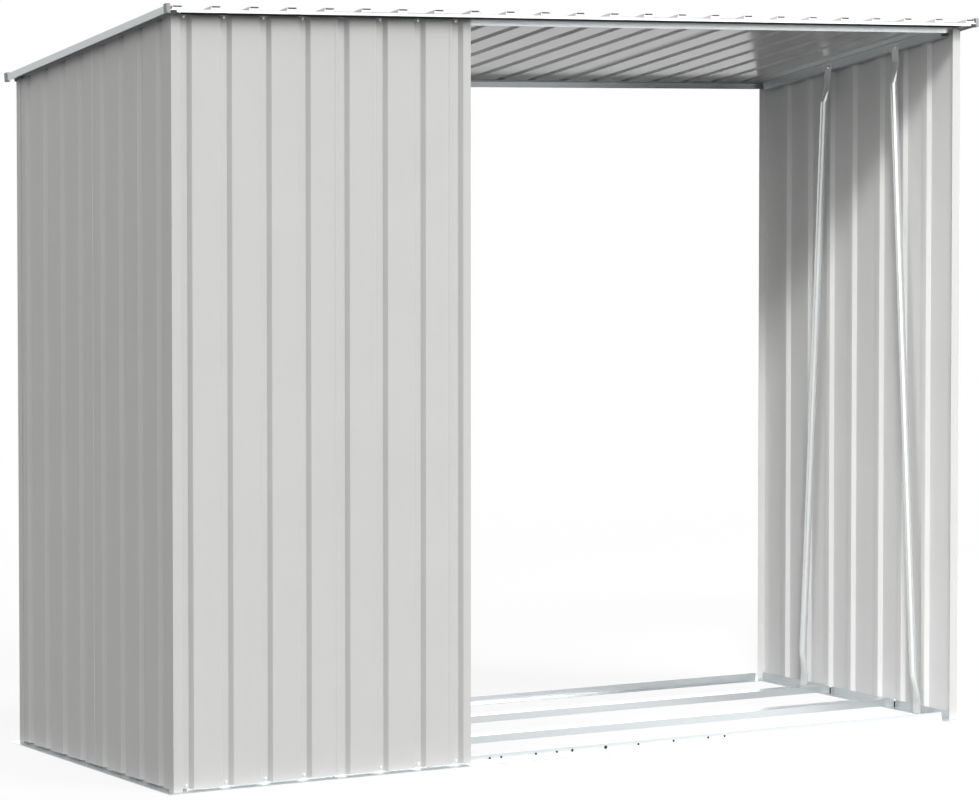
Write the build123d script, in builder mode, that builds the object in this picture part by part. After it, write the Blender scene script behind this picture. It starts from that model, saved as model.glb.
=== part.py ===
from build123d import *
import math
import os

# Log store with a pent roof: thin ribbed steel sheets on a frame of galvanised rails.
# Millimetres. X runs along the front to the right, Y towards the back, Z up.
# The origin is at ground level under the middle of the whole store.

# Overall form
wall_width = 2380.0  # outer faces of the left and right walls
wall_depth = 928.0  # outer faces of the front and back walls
wall_foot = 6.0  # lower edge of the wall sheets above the ground
eaves_height = 1899.0  # underside of the roof above the front wall
roof_fall = 0.16  # drop of the roof for each millimetre towards the back
wall_top_gap = 4.0  # from the top of a wall sheet to the roof
front_overhang = 42.0
back_overhang = 5.0
side_overhang = 31.2
closed_bay = 838.0  # width of the bay that is closed at the front and back

# Ribbed wall sheet
sheet = 0.8
groove_mouth = 34.0
groove_floor = 16.0
groove_depth = 10.0
first_groove = 39.0  # from the corner to the middle of the first front groove
grooves_per_sheet = 4
sheet_lap = 3.5
fold_room = 2.0  # from the end of a lapped sheet to the fold of the sheet over it
corner_clearance = 0.4  # between the sheets of two walls that meet
web_clearance = 0.2  # between a groove and the rail behind it
left_wall_first_groove = 72.3
left_middle_gap = 132.0  # between the two middle grooves of the left wall
right_wall_first_groove = 139.0
right_wall_last_groove = 115.2  # from the back wall
right_middle_gap = 131.0
right_wall_front_grooves = 3

# Corner and bay posts
post_leg = 24.0

# Base rails: a folded tee, lying on the ground with its web up
base_plate = 1.2
base_web_height = 21.0
base_foot_reach = 20.0  # beyond the wall, outside
base_inner_reach = 41.0  # inside, from the wall's outer face
base_joint_gap = 0.3
floor_rail_width = 38.0
floor_rail_height = 19.0
floor_rail_wall = 1.0
floor_rail_count = 2

# Top rails: folded channels under the roof
side_rail_height = 22.0
end_rail_height = 16.5  # front and back
top_rail_depth = 24.0
top_rail_wall = 1.0
rail_joint_gap = 0.5

# Roof
rib_count = 24
roof_end_flat = 13.3  # from the side of the roof to the first rib
rib_base = 30.0
rib_top = 24.0
rib_height = 9.2
ribs_per_sheet = 4
roof_lap = 8.0  # of each sheet past the rib that it shares with its neighbour
lap_ease = 0.6  # half of the extra width of a shared rib in the upper sheet
trim_wall = 1.0
trim_drop = 7.0  # below the underside of the roof
trim_rise = 11.0  # above it
trim_lip = 8.0
trim_fold = 4.0
trim_leg = 26.0
trim_clearance = 0.3
front_edge_leg = 25.0
back_edge_leg = 14.0
plug_length = 6.0
plug_clearance = 0.2
cap_wall = 1.2
cap_length = 16.0
cap_width = 10.0
cap_top = 15.0  # above the underside of the roof
cap_clearance = 0.2

# Braces: round tube with flattened ends
brace_diameter = 20.0
brace_flat_width = 30.0
brace_flat_thickness = 3.0
brace_flat_length = 45.0
brace_neck_length = 60.0
brace_seat_clearance = 0.3
front_brace_foot = 128.0  # from the front wall
front_brace_head = 244.0
rear_brace_foot = 256.0  # from the back wall
rear_brace_head = 366.0

# Places that follow from the sizes above. The caps' lower front edges and the base's foot reach furthest.
roof_angle = math.atan(roof_fall)
slope_cos = math.cos(roof_angle)
slope_sin = math.sin(roof_angle)
front_reach = front_overhang + cap_wall * slope_cos + (trim_drop + cap_wall) * slope_sin
back_reach = base_foot_reach
front = front_reach - (front_reach + wall_depth + back_reach) / 2
back = front + wall_depth
left = -wall_width / 2
right = wall_width / 2
roof_front = front - front_overhang
roof_length = (front_overhang + wall_depth + back_overhang) / slope_cos
web_inset = 2 * sheet + groove_depth + sheet + web_clearance


def roof_height(y):
    """Height of the roof's underside above the ground at y."""
    return eaves_height - roof_fall * (y - front)


def keep(piece, name):
    """Name a finished piece and write it to its own file."""
    piece.label = name
    export_step(piece, f"parts/{name}.step")


def fold(points, thickness, side=Side.LEFT):
    """A strip of folded sheet: one face along the points, the other a thickness to one side."""
    with BuildLine() as outline:
        Polyline(*points)
        offset(amount=thickness, side=side, kind=Kind.INTERSECTION, closed=True)
    make_face(outline.edges())


os.makedirs("parts", exist_ok=True)

# Each wall has a plane with x from its front or left end, y inwards and its origin at the sheets' foot.
wall_planes = {
    "front": Plane(origin=(left, front, wall_foot), x_dir=(1, 0, 0), z_dir=(0, 0, 1)),
    "back": Plane(origin=(left, back, wall_foot), x_dir=(1, 0, 0), z_dir=(0, 0, -1)),
    "left": Plane(origin=(left, front, wall_foot), x_dir=(0, 1, 0), z_dir=(0, 0, -1)),
    "right": Plane(origin=(right, front, wall_foot), x_dir=(0, 1, 0), z_dir=(0, 0, 1)),
}
wall_top = Plane(origin=(0, front, eaves_height - wall_top_gap), z_dir=(0, slope_sin, slope_cos))
raw_height = eaves_height + front_overhang


def ribbed_line(start, end, grooves, inset):
    """Outer face of a wall sheet, seen from above, with its grooves pressed inwards."""
    points = [(start, inset)]
    for middle in grooves:
        points += [
            (middle - groove_mouth / 2, inset),
            (middle - groove_floor / 2, inset + groove_depth),
            (middle + groove_floor / 2, inset + groove_depth),
            (middle + groove_mouth / 2, inset),
        ]
    return points + [(end, inset)]


def standing_strip(wall, points):
    """A folded strip that stands on a wall's plane and ends under the roof."""
    plane = wall_planes[wall]
    with BuildPart() as strip:
        with BuildSketch(plane):
            fold(points, sheet)
        extrude(amount=raw_height * plane.z_dir.Z)
        split(bisect_by=wall_top, keep=Keep.BOTTOM)
    return strip.part


# Front and back walls of the closed bay: two sheets and a bay post that laps over them.
bay_pitch = (closed_bay - 2 * first_groove) / (2 * grooves_per_sheet - 1)
bay_grooves = [first_groove + bay_pitch * i for i in range(2 * grooves_per_sheet)]
outer_layer, middle_layer, inner_layer = 0.0, sheet, 2 * sheet
sheet_end = inner_layer + sheet + corner_clearance
seam = bay_grooves[grooves_per_sheet] - groove_mouth / 2 - fold_room
post_seam = bay_grooves[-1] - groove_mouth / 2 - fold_room
bay_return = web_inset - web_clearance
for wall in ("front", "back"):
    first = ribbed_line(sheet_end, seam, bay_grooves[:grooves_per_sheet], inner_layer)
    keep(standing_strip(wall, first), f"{wall}_wall_sheet_left")
    second = ribbed_line(seam - sheet_lap, post_seam, bay_grooves[grooves_per_sheet:-1], middle_layer)
    keep(standing_strip(wall, second), f"{wall}_wall_sheet_right")
    post = ribbed_line(post_seam - sheet_lap, closed_bay, bay_grooves[-1:], outer_layer)
    keep(standing_strip(wall, post + [(closed_bay, bay_return)]), f"{wall}_bay_post")

# Side walls: two sheets each, with a wider interval at the seam between them.
left_pitch = (wall_depth - left_middle_gap - 2 * left_wall_first_groove) / (2 * grooves_per_sheet - 2)
left_front = [left_wall_first_groove + left_pitch * i for i in range(grooves_per_sheet)]
left_rear = [left_front[-1] + left_middle_gap + left_pitch * i for i in range(grooves_per_sheet)]
right_grooved = wall_depth - right_wall_first_groove - right_wall_last_groove - right_middle_gap
right_pitch = right_grooved / (right_wall_front_grooves + grooves_per_sheet - 2)
right_front = [right_wall_first_groove + right_pitch * i for i in range(right_wall_front_grooves)]
right_rear = [right_front[-1] + right_middle_gap + right_pitch * i for i in range(grooves_per_sheet)]
for wall, front_grooves, rear_grooves in (
    ("left", left_front, left_rear),
    ("right", right_front, right_rear),
):
    seam = (front_grooves[-1] + rear_grooves[0]) / 2
    front_sheet = ribbed_line(sheet_end, seam + sheet_lap, front_grooves, inner_layer)
    keep(standing_strip(wall, front_sheet), f"{wall}_wall_sheet_front")
    rear_sheet = ribbed_line(seam - sheet_lap, wall_depth - sheet_end, rear_grooves, middle_layer)
    keep(standing_strip(wall, rear_sheet), f"{wall}_wall_sheet_rear")

# Corner posts: light angles around the four corners, standing on the base plates.
for name, x, y, x_sign, y_sign in (
    ("front_left", left, front, 1, 1),
    ("front_right", right, front, -1, 1),
    ("back_left", left, back, 1, -1),
    ("back_right", right, back, -1, -1),
):
    with BuildPart() as post:
        with BuildSketch(Plane(origin=(x, y, base_plate))):
            side = Side.LEFT if x_sign * y_sign < 0 else Side.RIGHT
            fold([(0, y_sign * post_leg), (0, 0), (x_sign * post_leg, 0)], sheet, side)
        extrude(amount=raw_height)
        split(bisect_by=wall_top, keep=Keep.BOTTOM)
    keep(post.part, f"{name}_corner_post")


# Base rails: the side rails' plates run the whole depth, the front and back rails fit between them.
# Each section has x inwards from the wall's outer face and y up from the ground.
plate_length = wall_depth + 2 * base_foot_reach
side_web_length = wall_depth - 2 * web_inset
span = wall_width - 2 * (base_inner_reach + base_joint_gap)
for name, origin, x_dir, z_dir, length, web_length in (
    ("left", (left, front + wall_depth / 2, 0), (1, 0, 0), (0, -1, 0), plate_length, side_web_length),
    ("right", (right, front + wall_depth / 2, 0), (-1, 0, 0), (0, 1, 0), plate_length, side_web_length),
    ("front", (0, front, 0), (0, 1, 0), (1, 0, 0), span, span),
    ("back", (0, back, 0), (0, -1, 0), (-1, 0, 0), span, span),
):
    section = Plane(origin=origin, x_dir=x_dir, z_dir=z_dir)
    with BuildPart() as rail:
        with BuildSketch(section):
            with Locations(((base_inner_reach - base_foot_reach) / 2, base_plate / 2)):
                Rectangle(base_foot_reach + base_inner_reach, base_plate)
        extrude(amount=length / 2, both=True)
        with BuildSketch(section):
            with Locations((web_inset + base_plate / 2, base_web_height / 2)):
                Rectangle(base_plate, base_web_height)
        extrude(amount=web_length / 2, both=True)
    keep(rail.part, f"base_rail_{name}")

# Floor rails: inverted channels that lie on the side rails' plates and end at their webs.
floor_span = wall_width - 2 * (web_inset + base_plate + base_joint_gap)
for i, name in enumerate(("front", "rear")):
    middle_y = front + wall_depth * (i + 1) / (floor_rail_count + 1)
    with BuildPart() as rail:
        origin = (-floor_span / 2, middle_y, base_plate)
        with BuildSketch(Plane(origin=origin, x_dir=(0, 1, 0), z_dir=(1, 0, 0))):
            half = floor_rail_width / 2
            fold(
                [(-half, 0), (-half, floor_rail_height), (half, floor_rail_height), (half, 0)],
                floor_rail_wall,
                Side.RIGHT,
            )
        extrude(amount=floor_span)
    keep(rail.part, f"floor_rail_{name}")

# Top rails at the front and back: channels with the web outside and the top flange at the roof's slope.
top_span = wall_width - 2 * web_inset
for name, y, inward in (("front", front, 1), ("back", back, -1)):
    web_y = y + inward * web_inset
    top = roof_height(web_y)
    with BuildPart() as rail:
        with BuildSketch(Plane(origin=(-top_span / 2, web_y, top), x_dir=(0, 1, 0), z_dir=(1, 0, 0))):
            reach = inward * top_rail_depth
            fold(
                [(reach, -end_rail_height), (0, -end_rail_height), (0, 0), (reach, -roof_fall * reach)],
                top_rail_wall,
                Side.RIGHT if inward > 0 else Side.LEFT,
            )
        extrude(amount=top_span)
    keep(rail.part, f"top_rail_{name}")

# Top rails at the sides: channels along the slope with the web inside, where the braces are fixed.
side_start = front + web_inset + top_rail_depth + side_rail_height * slope_sin + rail_joint_gap
side_end = back - web_inset - top_rail_depth - rail_joint_gap
side_rail_length = (side_end - side_start) / slope_cos
for name, x, inward in (("left", left, 1), ("right", right, -1)):
    web_x = x + inward * web_inset
    with BuildPart() as rail:
        slope = Plane(
            origin=(web_x, side_start, roof_height(side_start)),
            x_dir=(1, 0, 0),
            z_dir=(0, -slope_cos, slope_sin),
        )
        with BuildSketch(slope):
            reach = inward * top_rail_depth
            fold(
                [(0, 0), (reach, 0), (reach, -side_rail_height), (0, -side_rail_height)],
                top_rail_wall,
                Side.RIGHT if inward > 0 else Side.LEFT,
            )
        extrude(amount=-side_rail_length)
    keep(rail.part, f"top_rail_{name}")

# Braces: pairs that lean towards each other inside the side walls, flat ends on plate and rail.
brace_plane_inset = web_inset + top_rail_depth + brace_seat_clearance + brace_flat_thickness / 2


def brace(x, tube_shift, foot_y, head_y):
    """One brace between its foot on the base plate and its head on the side top rail."""
    foot = Vector(x, foot_y, 0)
    head = Vector(x, head_y, roof_height(head_y) - side_rail_height / 3)
    along = (head - foot).normalized()
    length = (head - foot).length

    def section(distance):
        return Plane(origin=foot + along * distance, x_dir=(1, 0, 0), z_dir=along)

    neck_start = brace_flat_length
    neck_end = neck_start + brace_neck_length
    with BuildPart() as tube:
        for at in (0, length - neck_start):
            with BuildSketch(section(at)):
                Rectangle(brace_flat_thickness, brace_flat_width)
            extrude(amount=neck_start)
        for flat_at, round_at in ((neck_start, neck_end), (length - neck_start, length - neck_end)):
            with BuildSketch(section(flat_at)):
                Rectangle(brace_flat_thickness, brace_flat_width)
            with BuildSketch(section(round_at)):
                with Locations((tube_shift, 0)):
                    Circle(brace_diameter / 2)
            loft()
        with BuildSketch(section(neck_end)):
            with Locations((tube_shift, 0)):
                Circle(brace_diameter / 2)
        extrude(amount=length - 2 * neck_end)
        split(bisect_by=Plane.XY.offset(base_plate + brace_seat_clearance), keep=Keep.TOP)
    return tube.part


tube_offset = (brace_diameter - brace_flat_thickness) / 2
for wall, x, inward in (("left", left, 1), ("right", right, -1)):
    brace_x = x + inward * brace_plane_inset
    shift = inward * tube_offset
    front_brace = brace(brace_x, shift, front + front_brace_foot, front + front_brace_head)
    keep(front_brace, f"{wall}_brace_front")
    rear_brace = brace(brace_x, shift, back - rear_brace_foot, back - rear_brace_head)
    keep(rear_brace, f"{wall}_brace_rear")

# Roof sheets: ribs run down the slope, and neighbours share a rib, where every second sheet laps over.
roof_plane = Plane(
    origin=(0, roof_front, roof_height(roof_front)),
    x_dir=(1, 0, 0),
    z_dir=(0, -slope_cos, slope_sin),
)
roof_half = wall_width / 2 + side_overhang
rib_pitch = (2 * (roof_half - roof_end_flat) - rib_base) / (rib_count - 1)
rib_middles = [rib_pitch * (i - (rib_count - 1) / 2) for i in range(rib_count)]
sheet_count = rib_count // ribs_per_sheet


def rib_lift(rib):
    """Height of the lowest sheet at a rib above the rails: upper sheets lie one thickness higher."""
    return sheet if rib % (2 * ribs_per_sheet) > ribs_per_sheet else 0


for i in range(sheet_count):
    first_rib = i * ribs_per_sheet
    last_rib = min(first_rib + ribs_per_sheet, rib_count - 1)
    lift = sheet * (i % 2)
    edge = roof_half - trim_wall - trim_clearance
    start = -edge if i == 0 else rib_middles[first_rib] - rib_base / 2 - roof_lap
    end = edge if i == sheet_count - 1 else rib_middles[last_rib] + rib_base / 2 + roof_lap
    points = [(start, lift)]
    for j in range(first_rib, last_rib + 1):
        shared = j in (first_rib, last_rib) and j not in (0, rib_count - 1)
        ease = lap_ease if shared and lift else 0
        base_half = rib_base / 2 + ease
        top_half = rib_top / 2 + ease
        points += [
            (rib_middles[j] - base_half, lift),
            (rib_middles[j] - top_half, lift + rib_height),
            (rib_middles[j] + top_half, lift + rib_height),
            (rib_middles[j] + base_half, lift),
        ]
    points.append((end, lift))
    with BuildPart() as roof_sheet:
        with BuildSketch(roof_plane):
            fold(points, sheet)
        extrude(amount=-roof_length)
    keep(roof_sheet.part, f"roof_sheet_{i + 1}")

# Side trims of the roof: the sheet lies on a folded leg, and the outer face stands as high as the ribs.
for name, outward in (("left", -1), ("right", 1)):
    with BuildPart() as trim:
        with BuildSketch(roof_plane):
            outline = [
                (roof_half - trim_leg, -trim_wall),
                (roof_half - trim_fold, -trim_wall),
                (roof_half - trim_fold, -trim_drop),
                (roof_half, -trim_drop),
                (roof_half, trim_rise),
                (roof_half - trim_lip, trim_rise),
            ]
            fold([(outward * x, y) for x, y in outline], trim_wall, Side.LEFT if outward > 0 else Side.RIGHT)
        extrude(amount=-roof_length)
    keep(trim.part, f"roof_trim_{name}")

# Front and back edges of the roof: angles under the sheets between the side trims.
edge_span = 2 * (roof_half - trim_leg - trim_clearance)
for name, at, reach in (("front", 0, front_edge_leg), ("back", roof_length, -back_edge_leg)):
    edge_plane = Plane(
        origin=(-edge_span / 2, roof_front + at * slope_cos, roof_height(roof_front) - at * slope_sin),
        x_dir=(0, slope_cos, -slope_sin),
        z_dir=(1, 0, 0),
    )
    with BuildPart() as edge_strip:
        with BuildSketch(edge_plane):
            fold(
                [(reach, 0), (0, 0), (0, -trim_drop)],
                trim_wall,
                Side.LEFT if reach > 0 else Side.RIGHT,
            )
        extrude(amount=edge_span)
    keep(edge_strip.part, f"roof_edge_{name}")

# Rib plugs: pale closures in both ends of every rib.
for name, start, direction in (("front", 0, -1), ("back", roof_length, 1)):
    with BuildPart() as plugs:
        with BuildSketch(roof_plane.offset(-start)):
            for i, rib in enumerate(rib_middles):
                low = rib_lift(i) + plug_clearance
                high = rib_lift(i) + rib_height - plug_clearance
                with BuildLine():
                    Polyline(
                        (rib - rib_base / 2 + 2 * plug_clearance, low),
                        (rib + rib_base / 2 - 2 * plug_clearance, low),
                        (rib + rib_top / 2 - plug_clearance, high),
                        (rib - rib_top / 2 + plug_clearance, high),
                        close=True,
                    )
                make_face()
        extrude(amount=direction * plug_length)
    keep(plugs.part, f"rib_plugs_{name}")

# Corner caps: moulded covers over the four ends of the side trims, open towards the roof.
cap_bottom = -trim_drop - cap_wall
for end_name, start, direction in (("front", 0, -1), ("back", roof_length, 1)):
    for side_name, outward in (("left", -1), ("right", 1)):
        with BuildPart() as cap:
            with BuildSketch(roof_plane.offset(-start - direction * cap_wall)):
                middle_x = outward * (roof_half + cap_wall - cap_width / 2)
                with Locations((middle_x, (cap_top + cap_bottom) / 2)):
                    Rectangle(cap_width, cap_top - cap_bottom)
            extrude(amount=direction * (cap_length + cap_wall))
            with BuildSketch(roof_plane.offset(-start - direction * cap_clearance)):
                middle_x = outward * (roof_half + cap_clearance - cap_width / 2)
                with Locations((middle_x, (trim_rise - trim_drop) / 2)):
                    Rectangle(cap_width, trim_rise + trim_drop + 2 * cap_clearance)
            extrude(amount=direction * (cap_length + cap_wall), mode=Mode.SUBTRACT)
        keep(cap.part, f"{end_name}_{side_name}_roof_cap")
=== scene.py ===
import math
import bmesh
import bpy
from mathutils import Matrix, Vector
from mathutils.bvhtree import BVHTree


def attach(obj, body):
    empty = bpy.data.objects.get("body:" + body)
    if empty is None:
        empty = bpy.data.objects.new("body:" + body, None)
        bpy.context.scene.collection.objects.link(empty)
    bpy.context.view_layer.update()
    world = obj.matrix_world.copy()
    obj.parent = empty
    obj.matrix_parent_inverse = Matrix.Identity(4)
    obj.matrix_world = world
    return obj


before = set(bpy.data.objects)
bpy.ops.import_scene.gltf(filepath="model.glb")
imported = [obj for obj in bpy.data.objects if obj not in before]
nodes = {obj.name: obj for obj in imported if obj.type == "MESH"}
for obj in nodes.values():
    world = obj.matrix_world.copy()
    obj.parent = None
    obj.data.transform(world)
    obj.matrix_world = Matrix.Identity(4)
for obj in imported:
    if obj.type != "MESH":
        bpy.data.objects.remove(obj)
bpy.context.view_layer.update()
scene = bpy.context.scene
MM = 0.001


# Studio: the store stands on a plain white floor, seen from eye height to the left of its front.
# A broad soft sky lights it from the left, and a key lamp from the front right draws the front grooves.
# Weaker lamps light the left wall and the back, and a narrow one lights the open bay's right wall.
CAMERA_PLACE = Vector((-5.318, -8.99, 1.61))
CAMERA_YAW = math.radians(30.457)
CAMERA_PITCH = math.radians(-2.491)
CAMERA_LENS_MM = 143.5
CAMERA_SHIFT = -0.1
CAMERA_REACH = 200.0
FLOOR_WHITE = "#F6F6F6"
FLOOR_BOUNCE = "#3C3C3C"  # what the floor throws back on the store
FLOOR_GLOW = 0.85  # share of plain white near the store, which leaves it a soft shadow
FLOOR_RADIUS = 60.0
FLOOR_SIDES = 64
FLOOR_NEAR = 2.5
FLOOR_FAR = 9.0
WORLD_LIGHT = 0.14
SKY_FROM = (-0.4, -0.6, 0.7)
SKY_STRENGTH = 1.8
SKY_SPREAD = 90.0
KEY_FROM = (0.6, -0.72, 0.35)
KEY_STRENGTH = 2.6
KEY_SPREAD = 30.0
SIDE_FROM = (-0.9, -0.3, 0.3)
SIDE_STRENGTH = 0.7
SIDE_SPREAD = 50.0
BACK_FROM = (0.35, 0.9, 0.15)
BACK_STRENGTH = 1.6
BACK_SPREAD = 60.0
BAY_LAMP_PLACE = Vector((-1.8, -5.0, 5.2))
BAY_LAMP_AIM = Vector((1.19, -0.1, 0.6))
BAY_LAMP_SIZE = (1.4, 3.2)
BAY_LAMP_POWER = 8.0
BAY_LAMP_SPREAD = 14.0


def linear(hex_colour):
    """An sRGB hex colour as linear red, green, blue and alpha."""
    channels = [int(hex_colour[i : i + 2], 16) / 255 for i in (1, 3, 5)]
    return [c / 12.92 if c <= 0.04045 else ((c + 0.055) / 1.055) ** 2.4 for c in channels] + [1.0]


def add_node(tree, kind, links=None, **settings):
    """A shader node with its settings and the sockets that feed its inputs."""
    node = tree.nodes.new(kind)
    for key, value in settings.items():
        if key in node.bl_rna.properties:
            setattr(node, key, value)
        else:
            node.inputs[key.replace("_", " ")].default_value = value
    for key, source in (links or {}).items():
        tree.links.new(source, node.inputs[key])
    return node


def new_material(name):
    """An empty node material with its output node."""
    material = bpy.data.materials.new(name)
    material.use_nodes = True
    material.node_tree.nodes.clear()
    return material, material.node_tree, material.node_tree.nodes.new("ShaderNodeOutputMaterial")


camera = bpy.data.objects.new("camera", bpy.data.cameras.new("camera"))
scene.collection.objects.link(camera)
scene.camera = camera
camera.location = CAMERA_PLACE
camera.rotation_euler = (math.pi / 2 + CAMERA_PITCH, 0, -CAMERA_YAW)
camera.data.lens = CAMERA_LENS_MM
camera.data.shift_y = CAMERA_SHIFT
camera.data.clip_end = CAMERA_REACH

for lamp_name, came_from, power, spread in (
    ("sky_lamp", SKY_FROM, SKY_STRENGTH, SKY_SPREAD),
    ("key_lamp", KEY_FROM, KEY_STRENGTH, KEY_SPREAD),
    ("side_lamp", SIDE_FROM, SIDE_STRENGTH, SIDE_SPREAD),
    ("back_lamp", BACK_FROM, BACK_STRENGTH, BACK_SPREAD),
):
    lamp = bpy.data.objects.new(lamp_name, bpy.data.lights.new(lamp_name, "SUN"))
    lamp.data.energy = power
    lamp.data.angle = math.radians(spread)
    lamp.rotation_euler = Vector(came_from).to_track_quat("Z", "Y").to_euler()
    scene.collection.objects.link(lamp)
bay_lamp = bpy.data.objects.new("bay_lamp", bpy.data.lights.new("bay_lamp", "AREA"))
bay_lamp.data.shape = "RECTANGLE"
bay_lamp.data.size, bay_lamp.data.size_y = BAY_LAMP_SIZE
bay_lamp.data.energy = BAY_LAMP_POWER
bay_lamp.data.spread = math.radians(BAY_LAMP_SPREAD)
bay_lamp.location = BAY_LAMP_PLACE
bay_lamp.rotation_euler = (BAY_LAMP_PLACE - BAY_LAMP_AIM).to_track_quat("Z", "Y").to_euler()
scene.collection.objects.link(bay_lamp)

world = bpy.data.worlds.new("studio_world")
scene.world = world
world.use_nodes = True
tree = world.node_tree
tree.nodes.clear()
path = add_node(tree, "ShaderNodeLightPath")
seen = add_node(tree, "ShaderNodeMath", {0: path.outputs["Is Camera Ray"], 1: path.outputs["Is Glossy Ray"]},
                operation="MAXIMUM")
seen = add_node(tree, "ShaderNodeMath", {0: seen.outputs[0], 1: path.outputs["Is Transmission Ray"]},
                operation="MAXIMUM")
strength = add_node(tree, "ShaderNodeMapRange", {"Value": seen.outputs[0]}, To_Min=WORLD_LIGHT, To_Max=1.0)
shine = add_node(tree, "ShaderNodeBackground", {"Strength": strength.outputs[0]}, Color=(1, 1, 1, 1))
tree.links.new(shine.outputs[0], tree.nodes.new("ShaderNodeOutputWorld").inputs["Surface"])

bm = bmesh.new()
bmesh.ops.create_circle(bm, cap_ends=True, radius=FLOOR_RADIUS, segments=FLOOR_SIDES)
floor = bpy.data.objects.new("floor", bpy.data.meshes.new("floor"))
bm.to_mesh(floor.data)
bm.free()
scene.collection.objects.link(floor)
material, tree, output = new_material("white_studio_floor")
path = add_node(tree, "ShaderNodeLightPath")
seen = add_node(tree, "ShaderNodeMath", {0: path.outputs["Is Camera Ray"], 1: path.outputs["Is Glossy Ray"]},
                operation="MAXIMUM")
away = add_node(tree, "ShaderNodeVectorMath", {0: add_node(tree, "ShaderNodeTexCoord").outputs["Object"]},
                operation="LENGTH")
fade = add_node(tree, "ShaderNodeMapRange", {"Value": away.outputs["Value"]}, interpolation_type="SMOOTHSTEP",
                From_Min=FLOOR_NEAR, From_Max=FLOOR_FAR, To_Min=FLOOR_GLOW, To_Max=1.0)
share = add_node(tree, "ShaderNodeMath", {0: seen.outputs[0], 1: fade.outputs[0]}, operation="MULTIPLY")
pale = add_node(tree, "ShaderNodeMix", {"Factor": seen.outputs[0]}, data_type="RGBA")
pale.inputs[6].default_value = linear(FLOOR_BOUNCE)
pale.inputs[7].default_value = linear(FLOOR_WHITE)
paint = add_node(tree, "ShaderNodeBsdfDiffuse", {"Color": pale.outputs[2]})
glow = add_node(tree, "ShaderNodeEmission", Color=(1, 1, 1, 1), Strength=1.0)
mix = add_node(tree, "ShaderNodeMixShader", {0: share.outputs[0], 1: paint.outputs[0], 2: glow.outputs[0]})
tree.links.new(mix.outputs[0], output.inputs["Surface"])
floor.data.materials.append(material)


# Wall sheets and corner posts: thin roll-formed steel, galvanised and coil-coated in a light grey
# polyester outside and a paler wash coat inside. They are lapped at a rib and screwed to the rails.
OUTER_COAT = "#C8C8C7"
INNER_COAT = "#EAEAE9"
COAT_ROUGHNESS = 0.42
WASH_ROUGHNESS = 0.5
COAT_SPECULAR = 0.12
OIL_CANNING_MM = 260.0  # long shallow waves that thin sheet always has between its ribs
OIL_CANNING_DEPTH_MM = 1.2
OIL_CANNING_STRENGTH = 0.5
ORANGE_PEEL_MM = 7.0  # real grain is under 1 mm; drawn coarser so that it shows at all
ORANGE_PEEL_DEPTH_MM = 0.1
ORANGE_PEEL_STRENGTH = 0.12
SCUFF_MM = 180.0  # patches that differ a trace in tone and gloss, from handling
SCUFF_CHANGE = 0.012
SCUFF_NOISE = (0.35, 0.65)  # the part of the noise's range that is used
POLYESTER_IOR = 1.5


def coated_steel(name, outward, wash_roughness=WASH_ROUGHNESS, coat_roughness=COAT_ROUGHNESS,
                 specular=COAT_SPECULAR):
    """Coil-coated steel: satin grey where the surface faces outward, and paler on the back."""
    material, tree, output = new_material(name)
    place = add_node(tree, "ShaderNodeTexCoord").outputs["Object"]
    normal = add_node(tree, "ShaderNodeNewGeometry").outputs["True Normal"]
    facing = add_node(tree, "ShaderNodeVectorMath", {0: normal}, operation="DOT_PRODUCT")
    facing.inputs[1].default_value = outward
    outside = add_node(tree, "ShaderNodeMath", {0: facing.outputs["Value"]}, operation="GREATER_THAN")
    outside.inputs[1].default_value = 0.0
    scuffs = add_node(tree, "ShaderNodeTexNoise", {"Vector": place}, Scale=1000 / SCUFF_MM,
                      Detail=3.0, Roughness=0.6)
    handled = add_node(tree, "ShaderNodeMapRange", {"Value": scuffs.outputs["Fac"]},
                       From_Min=SCUFF_NOISE[0], From_Max=SCUFF_NOISE[1],
                       To_Min=-SCUFF_CHANGE, To_Max=SCUFF_CHANGE)
    coat = add_node(tree, "ShaderNodeMix", {"Factor": outside.outputs[0]}, data_type="RGBA")
    coat.inputs[6].default_value = linear(INNER_COAT)
    coat.inputs[7].default_value = linear(OUTER_COAT)
    toned = add_node(tree, "ShaderNodeHueSaturation", {"Color": coat.outputs[2]})
    value = add_node(tree, "ShaderNodeMath", {0: handled.outputs[0]}, operation="ADD")
    value.inputs[1].default_value = 1.0
    tree.links.new(value.outputs[0], toned.inputs["Value"])
    gloss = add_node(tree, "ShaderNodeMapRange", {"Value": outside.outputs[0]},
                     To_Min=wash_roughness, To_Max=coat_roughness)
    rough = add_node(tree, "ShaderNodeMath", {0: gloss.outputs[0], 1: handled.outputs[0]}, operation="ADD")
    waves = add_node(tree, "ShaderNodeTexNoise", {"Vector": place}, Scale=1000 / OIL_CANNING_MM, Detail=1.0)
    peel = add_node(tree, "ShaderNodeTexNoise", {"Vector": place}, Scale=1000 / ORANGE_PEEL_MM, Detail=2.0)
    wave_bump = add_node(tree, "ShaderNodeBump", {"Height": waves.outputs["Fac"]},
                         Strength=OIL_CANNING_STRENGTH, Distance=OIL_CANNING_DEPTH_MM * MM)
    relief = add_node(tree, "ShaderNodeBump",
                      {"Height": peel.outputs["Fac"], "Normal": wave_bump.outputs[0]},
                      Strength=ORANGE_PEEL_STRENGTH, Distance=ORANGE_PEEL_DEPTH_MM * MM)
    steel = add_node(tree, "ShaderNodeBsdfPrincipled",
                     {"Base Color": toned.outputs[0], "Roughness": rough.outputs[0],
                      "Normal": relief.outputs[0]},
                     IOR=POLYESTER_IOR, Specular_IOR_Level=specular)
    tree.links.new(steel.outputs[0], output.inputs["Surface"])
    return material


def dress(node_name, material):
    """Give a CAD node its material."""
    node = nodes[node_name]
    node.data.materials.clear()
    node.data.materials.append(material)


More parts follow.
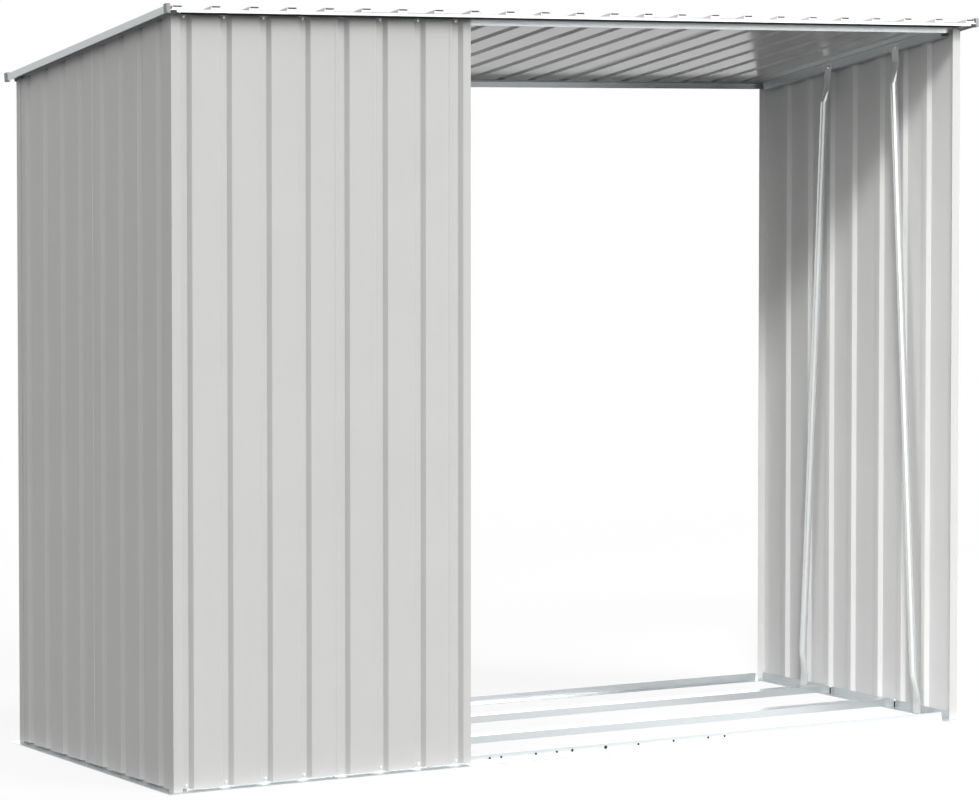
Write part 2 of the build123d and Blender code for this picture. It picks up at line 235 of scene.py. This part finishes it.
OUTWARD = {
    "front": Vector((0, -1, 0)),
    "back": Vector((0, 1, 0)),
    "left": Vector((-1, 0, 0)),
    "right": Vector((1, 0, 0)),
}
wall_coats = {wall: coated_steel(f"polyester_coated_steel_{wall}", OUTWARD[wall]) for wall in OUTWARD}
for wall in ("front", "back"):
    for piece in ("wall_sheet_left", "wall_sheet_right", "bay_post"):
        dress(f"{wall}_{piece}", wall_coats[wall])
for wall in ("left", "right"):
    for piece in ("wall_sheet_front", "wall_sheet_rear"):
        dress(f"{wall}_{piece}", wall_coats[wall])
for end in ("front", "back"):
    for side in ("left", "right"):
        coat = coated_steel(f"polyester_coated_steel_{end}_{side}_corner", OUTWARD[end] + OUTWARD[side])
        dress(f"{end}_{side}_corner_post", coat)


# Base, floor and top rails, roof trims and edges: folded from galvanised steel strip and left bare.
# Zinc gives a cool pale grey with a broad soft shine, faintly mottled by crystals about 10 mm wide.
# The roof's front and back edges are darker and duller.
ZINC_PALE = "#CDD2D4"
ZINC_DULL = "#C8CDCF"
SPANGLE_MM = 11.0
ZINC_ROUGHNESS = 0.28
ZINC_METALLIC = 0.45  # under bare metal's 1, to match how pale the rails look


def galvanised_steel(name, pale=ZINC_PALE, dull=ZINC_DULL, roughness=ZINC_ROUGHNESS):
    """Galvanised steel: part metallic, with pale crystals that differ a little in tone."""
    material, tree, output = new_material(name)
    place = add_node(tree, "ShaderNodeTexCoord").outputs["Object"]
    crystals = add_node(tree, "ShaderNodeTexNoise", {"Vector": place}, Scale=1000 / SPANGLE_MM, Detail=2.0)
    zinc = add_node(tree, "ShaderNodeValToRGB", {"Fac": crystals.outputs["Fac"]})
    zinc.color_ramp.elements[0].color = linear(dull)
    zinc.color_ramp.elements[1].color = linear(pale)
    steel = add_node(tree, "ShaderNodeBsdfPrincipled", {"Base Color": zinc.outputs[0]},
                     Roughness=roughness, Metallic=ZINC_METALLIC)
    tree.links.new(steel.outputs[0], output.inputs["Surface"])
    return material


rail_zinc = galvanised_steel("galvanised_steel")
for side in ("front", "back", "left", "right"):
    dress(f"base_rail_{side}", rail_zinc)
    dress(f"top_rail_{side}", rail_zinc)
for end in ("front", "rear"):
    dress(f"floor_rail_{end}", rail_zinc)
for side in ("left", "right"):
    dress(f"roof_trim_{side}", rail_zinc)
# The roof edges take a darker, duller zinc than the rails.
edge_zinc = galvanised_steel("darker_duller_galvanised_steel", pale="#B4B8BA", dull="#A6AAAC", roughness=0.45)
for end in ("front", "back"):
    dress(f"roof_edge_{end}", edge_zinc)


# Braces: drawn steel tube 20 mm across with its ends pressed flat, electro-galvanised and bright.
# Plating is smoother and whiter than hot-dip zinc. Each brace leans inside a side wall, with its flat
# head against the top rail.
bright_zinc = galvanised_steel("bright_zinc_plating", pale="#EEF0F0", dull="#E4E7E8", roughness=0.18)
for side in ("left", "right"):
    for end in ("front", "rear"):
        dress(f"{side}_brace_{end}", bright_zinc)


# Roof sheets: the same coated steel as the walls, mat grey above and with the pale wash coat below.
# That back stays smoother here than on the walls, so the underside mirrors what stands below it.
ROOF_SHEETS = 6
ROOF_WASH_ROUGHNESS = 0.18
ROOF_COAT_ROUGHNESS = 0.8
ROOF_SPECULAR = 0.38
UP = Vector((0, 0, 1))
roof_coat = coated_steel("polyester_coated_steel_roof", UP, ROOF_WASH_ROUGHNESS, ROOF_COAT_ROUGHNESS,
                         ROOF_SPECULAR)
for number in range(1, ROOF_SHEETS + 1):
    dress(f"roof_sheet_{number}", roof_coat)


# Rib closures and corner caps: injection-moulded polypropylene with a fine sparked grain, pale in the ribs
# and mid grey at the corners. The closures are pushed into the ribs and the caps over the ends of the trims.
GRAIN_MM = 1.5
GRAIN_DEPTH_MM = 0.1
GRAIN_STRENGTH = 0.25
GRAIN_SHADE = 0.93
POLYPROPYLENE_IOR = 1.49


def moulded_plastic(name, colour, roughness):
    """A moulded surface with the fine grain of its tool."""
    material, tree, output = new_material(name)
    place = add_node(tree, "ShaderNodeTexCoord").outputs["Object"]
    grain = add_node(tree, "ShaderNodeTexNoise", {"Vector": place}, Scale=1000 / GRAIN_MM, Detail=2.0)
    tone = add_node(tree, "ShaderNodeValToRGB", {"Fac": grain.outputs["Fac"]})
    base = linear(colour)
    tone.color_ramp.elements[0].color = [c * GRAIN_SHADE for c in base[:3]] + [1.0]
    tone.color_ramp.elements[1].color = base
    relief = add_node(tree, "ShaderNodeBump", {"Height": grain.outputs["Fac"]},
                      Strength=GRAIN_STRENGTH, Distance=GRAIN_DEPTH_MM * MM)
    plastic = add_node(tree, "ShaderNodeBsdfPrincipled",
                       {"Base Color": tone.outputs[0], "Normal": relief.outputs[0]},
                       Roughness=roughness, IOR=POLYPROPYLENE_IOR)
    tree.links.new(plastic.outputs[0], output.inputs["Surface"])
    return material


closure_plastic = moulded_plastic("pale_polypropylene_closures", "#F2F2F0", 0.55)
cap_plastic = moulded_plastic("grey_polypropylene_caps", "#8A8C8C", 0.5)
for end in ("front", "back"):
    dress(f"rib_plugs_{end}", closure_plastic)
    for side in ("left", "right"):
        dress(f"{end}_{side}_roof_cap", cap_plastic)


# Closure shade pads: a thin near-black pad on the outer face of every rib closure, along its top.
# It is painted shade for the dark hollow of the rib above the closure, a dark line under the sheet at both
# ends of each rib.
EAVES_MM = {"front": -451.76, "back": 476.24}  # outer faces of the front and back walls
ROOF_ENDS_MM = {"front": -493.76, "back": 481.22}
ROOF_OVER_FRONT_MM = 1899.0  # underside of the roof above the front wall
ROOF_FALL = 0.16
ROOF_TILT = Matrix.Rotation(-math.atan(ROOF_FALL), 4, "X")
RIBS = 24
RIB_PITCH_MM = 103.7304
RIBS_A_PAIR = 8  # every second sheet lies on its neighbours, one thickness higher
SHEET_LIFT_MM = 0.8
PAD_TOP_MM = 9.1
PAD_SIZE_MM = (22.0, 0.6, 3.0)
PAD_PROUD_MM = 0.2  # how far the middle of the pad stands before the closure's face
LOOK_FROM_MM = 50.0  # the store's surface is looked for from this far outside it

solids = bmesh.new()
for node in nodes.values():
    solids.from_mesh(node.data)
solid_surface = BVHTree.FromBMesh(solids)
solids.free()


def seat(start_mm, heading):
    """The first point of the store's surface that lies from the start in that direction."""
    return solid_surface.ray_cast(Vector(start_mm) * MM, heading)[0]


def under_roof(y_mm):
    """Height of the roof's underside."""
    return ROOF_OVER_FRONT_MM - ROOF_FALL * (y_mm - EAVES_MM["front"])


def add_block(bm, middle, size_mm, turn):
    """A turned box of that size about its middle."""
    size = Matrix.Diagonal([length * MM for length in size_mm] + [1.0])
    bmesh.ops.create_cube(bm, size=1.0, matrix=Matrix.Translation(middle) @ turn @ size)


def add_piece(name, bm, material):
    """The finished mesh as an object that belongs to the store."""
    bmesh.ops.recalc_face_normals(bm, faces=bm.faces)
    piece = bpy.data.objects.new(name, bpy.data.meshes.new(name))
    bm.to_mesh(piece.data)
    bm.free()
    piece.data.materials.append(material)
    scene.collection.objects.link(piece)
    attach(piece, "root")


# Painted shade: a near-black finish that stands in for shadow, on the closure pads and the front eaves strip.
shade_black = moulded_plastic("painted_shade_black_finish", "#1B1B1B", 0.8)
for end in ("front", "back"):
    outward = OUTWARD[end]
    bm = bmesh.new()
    for rib in range(RIBS):
        lift = SHEET_LIFT_MM if rib % RIBS_A_PAIR > RIBS_A_PAIR / 2 else 0.0
        x = (rib - (RIBS - 1) / 2) * RIB_PITCH_MM
        z = under_roof(ROOF_ENDS_MM[end]) + lift + PAD_TOP_MM - PAD_SIZE_MM[2] / 2
        face = seat((x, ROOF_ENDS_MM[end] + LOOK_FROM_MM * outward.y, z), -outward)
        add_block(bm, face + outward * PAD_PROUD_MM * MM, PAD_SIZE_MM, ROOF_TILT)
    add_piece(f"closure_shade_pads_{end}", bm, shade_black)


# Eaves shade strip: a near-black strip along the whole front, just under the roof sheets before the wall.
# It is painted shade for the dark underside of the overhang and shows as the black line under the front edge.
SHADE_STRIP_SIZE_MM = (2330.0, 11.0, 4.3)
SHADE_STRIP_FROM_WALL_MM = 6.5
SHADE_STRIP_GAP_MM = 0.1
# Painted shade: this near-black strip stands for the shadow under the front overhang.
bm = bmesh.new()
strip_y = EAVES_MM["front"] - SHADE_STRIP_FROM_WALL_MM
strip_z = under_roof(strip_y) - SHADE_STRIP_SIZE_MM[2] / 2 - SHADE_STRIP_GAP_MM
add_block(bm, Vector((0, strip_y, strip_z)) * MM, SHADE_STRIP_SIZE_MM, ROOF_TILT)
add_piece("eaves_shade_strip_front", bm, shade_black)


# Wall screws: bright zinc-plated pan heads at the feet of the grooves, driven through the sheet into the
# web of the base rail. The fifth groove of the front and back walls has none, and both walls have a second
# row in the top rails.
PAN_HEAD_MM = 8.4
PAN_HEAD_HEIGHT_MM = 2.2
HEAD_SUNK_MM = 0.3
HEAD_RIM_SHARE = 0.25  # of a head's height that its rounded edge takes up
FOOT_SCREW_MM = 13.5
TOP_SCREW_DOWN_MM = 9.0
WALL_X_MM = 1190.0
FRONT_GROOVES_MM = (39.0, 147.57, 256.14, 364.71, 581.86, 690.43, 799.0)  # from the left corner
SIDE_GROOVES_MM = {
    "left": (72.3, 180.87, 289.43, 398.0, 530.0, 638.57, 747.13, 855.7),  # from the front corner
    "right": (139.0, 247.56, 356.12, 487.12, 595.68, 704.24, 812.8),
}


def add_head(bm, foot, outward, across_mm, height_mm, sides=12, crown=0.75):
    """A screw head on that point of a surface, with its upper edge rounded and its top narrowed by crown."""
    middle = foot + outward * (height_mm / 2 - HEAD_SUNK_MM) * MM
    turn = outward.to_track_quat("Z", "Y").to_matrix().to_4x4()
    made = bmesh.ops.create_cone(bm, cap_ends=True, segments=sides, radius1=across_mm / 2 * MM,
                                 radius2=across_mm / 2 * crown * MM, depth=height_mm * MM,
                                 matrix=Matrix.Translation(middle) @ turn)
    edges = dict.fromkeys(edge for vert in made["verts"] for edge in vert.link_edges)
    rim = [edge for edge in edges if all((vert.co - middle).dot(outward) > 0 for vert in edge.verts)]
    bmesh.ops.bevel(bm, geom=rim, offset=height_mm * HEAD_RIM_SHARE * MM, affect="EDGES", segments=2,
                    profile=0.5, material=-1)


for wall, outward in OUTWARD.items():
    bm = bmesh.new()
    if wall in EAVES_MM:
        y = EAVES_MM[wall] + LOOK_FROM_MM * outward.y
        starts = [(groove - WALL_X_MM, y) for groove in FRONT_GROOVES_MM]
        rows = (FOOT_SCREW_MM, under_roof(EAVES_MM[wall]) - TOP_SCREW_DOWN_MM)
    else:
        x = (WALL_X_MM + LOOK_FROM_MM) * outward.x
        starts = [(x, EAVES_MM["front"] + groove) for groove in SIDE_GROOVES_MM[wall]]
        rows = (FOOT_SCREW_MM,)
    for start in starts:
        for z in rows:
            add_head(bm, seat((*start, z), -outward), outward, PAN_HEAD_MM, PAN_HEAD_HEIGHT_MM)
    add_piece(f"wall_screws_{wall}", bm, bright_zinc)


# Roof screws: zinc-plated hexagon heads on round washers, one on every flat between two ribs, in a row over
# the front top rail and a row over the back one. They go through the sheet into the rail's top flange.
ROOF_SCREW_INSIDE_MM = 18.0  # behind the outer face of the wall below
WASHER_MM = 14.0
WASHER_HEIGHT_MM = 1.6
HEX_HEAD_MM = 8.4
HEX_HEAD_HEIGHT_MM = 5.0
ABOVE_ROOF_MM = 2500.0
UP_FROM_ROOF = ROOF_TILT.to_3x3() @ UP
for end in ("front", "back"):
    bm = bmesh.new()
    y = EAVES_MM[end] - ROOF_SCREW_INSIDE_MM * OUTWARD[end].y
    for flat in range(1, RIBS):
        foot = seat(((flat - RIBS / 2) * RIB_PITCH_MM, y, ABOVE_ROOF_MM), -UP)
        add_head(bm, foot, UP_FROM_ROOF, WASHER_MM, WASHER_HEIGHT_MM, sides=16, crown=0.85)
        washer_top = foot + UP_FROM_ROOF * WASHER_HEIGHT_MM * MM
        add_head(bm, washer_top, UP_FROM_ROOF, HEX_HEAD_MM, HEX_HEAD_HEIGHT_MM, sides=6, crown=0.97)
    add_piece(f"roof_screws_{end}", bm, bright_zinc)


# Brace bolts: zinc-plated steel with a low dome, one through the flat head of each brace into the web of
# the side top rail. They are put in from inside, so the heads on the left and right face each other.
FRONT_HEAD_MM = 244.0  # from the front wall
REAR_HEAD_MM = 366.0  # from the back wall
BRACE_BOLT_DOWN_MM = 14.0
BRACE_BOLT_MM = 11.0
BRACE_BOLT_HEIGHT_MM = 4.0
LOOK_FROM_INSIDE_MM = 100.0
bm = bmesh.new()
for y in (EAVES_MM["front"] + FRONT_HEAD_MM, EAVES_MM["back"] - REAR_HEAD_MM):
    for to_wall in (OUTWARD["left"], OUTWARD["right"]):
        place = (to_wall.x * (WALL_X_MM - LOOK_FROM_INSIDE_MM), y, under_roof(y) - BRACE_BOLT_DOWN_MM)
        foot = seat(place, to_wall)
        add_head(bm, foot, -to_wall, BRACE_BOLT_MM, BRACE_BOLT_HEIGHT_MM, sides=16, crown=0.6)
add_piece("brace_bolts", bm, bright_zinc)


# Upright bolts: two stand on the plate of each side rail, each a little in front of a floor rail.
# The shank is near-black, painted shade for the dark line it shows, and a pale moulded cap covers its end.
FLOOR_RAILS_MM = (-142.43, 166.91)
BOLT_BEFORE_RAIL_MM = 50.5
BOLT_X_MM = 1171.0
SHANK_MM = 4.5
SHANK_TOP_MM = 20.0
SHANK_FOOT_MM = 1.0  # above the ground
CAP_OVERLAP_MM = 1.0
BOLT_CAP_MM = 7.0
BOLT_CAP_HEIGHT_MM = 4.5
shanks = bmesh.new()
caps = bmesh.new()
for y in FLOOR_RAILS_MM:
    for x in (-BOLT_X_MM, BOLT_X_MM):
        foot = Vector((x, y - BOLT_BEFORE_RAIL_MM, SHANK_FOOT_MM)) * MM
        add_head(shanks, foot, UP, SHANK_MM, SHANK_TOP_MM, sides=10, crown=1.0)
        cap_foot = foot + UP * (SHANK_TOP_MM - CAP_OVERLAP_MM) * MM
        add_head(caps, cap_foot, UP, BOLT_CAP_MM, BOLT_CAP_HEIGHT_MM, crown=0.7)
# Painted shade: the shanks' near-black colour stands for the shadow around them.
shank_shade_black = moulded_plastic("painted_shade_shank_finish", "#2A2B2C", 0.5)
add_piece("floor_rail_bolt_shanks", shanks, shank_shade_black)
add_piece("floor_rail_bolt_caps", caps, closure_plastic)


# Spare holes: a row of punched holes in the front base rail's web across the open bay. The solid rail has
# none, so each is a thin near-black disc of painted shade that stands for the dark inside the hole.
HOLE_HEIGHT_MM = 11.0
HOLES_MM = ((901, 6.5), (935, 6.5), (1039, 6.5), (1102, 6.5), (1149, 8.0), (1251, 9.5), (1352, 6.5),
            (1462, 6.5), (1571, 6.5), (1623, 6.5))  # place from the left corner and diameter
HOLE_DISC_MM = 0.6  # thickness
HOLE_SIDES = 20
# Painted shade: the discs' near-black colour stands for the dark inside each hole.
hole_shade_black = moulded_plastic("painted_hole_shade", "#161616", 0.9)
bm = bmesh.new()
for from_left, across in HOLES_MM:
    start = (from_left - WALL_X_MM, EAVES_MM["front"] - LOOK_FROM_MM, HOLE_HEIGHT_MM)
    face = seat(start, -OUTWARD["front"])
    radius = across / 2 * MM
    bmesh.ops.create_cone(bm, cap_ends=True, segments=HOLE_SIDES, radius1=radius, radius2=radius,
                          depth=HOLE_DISC_MM * MM,
                          matrix=Matrix.Translation(face) @ Matrix.Rotation(math.pi / 2, 4, "X"))
add_piece("base_rail_holes_front", bm, hole_shade_black)


scene.view_settings.view_transform = "Standard"
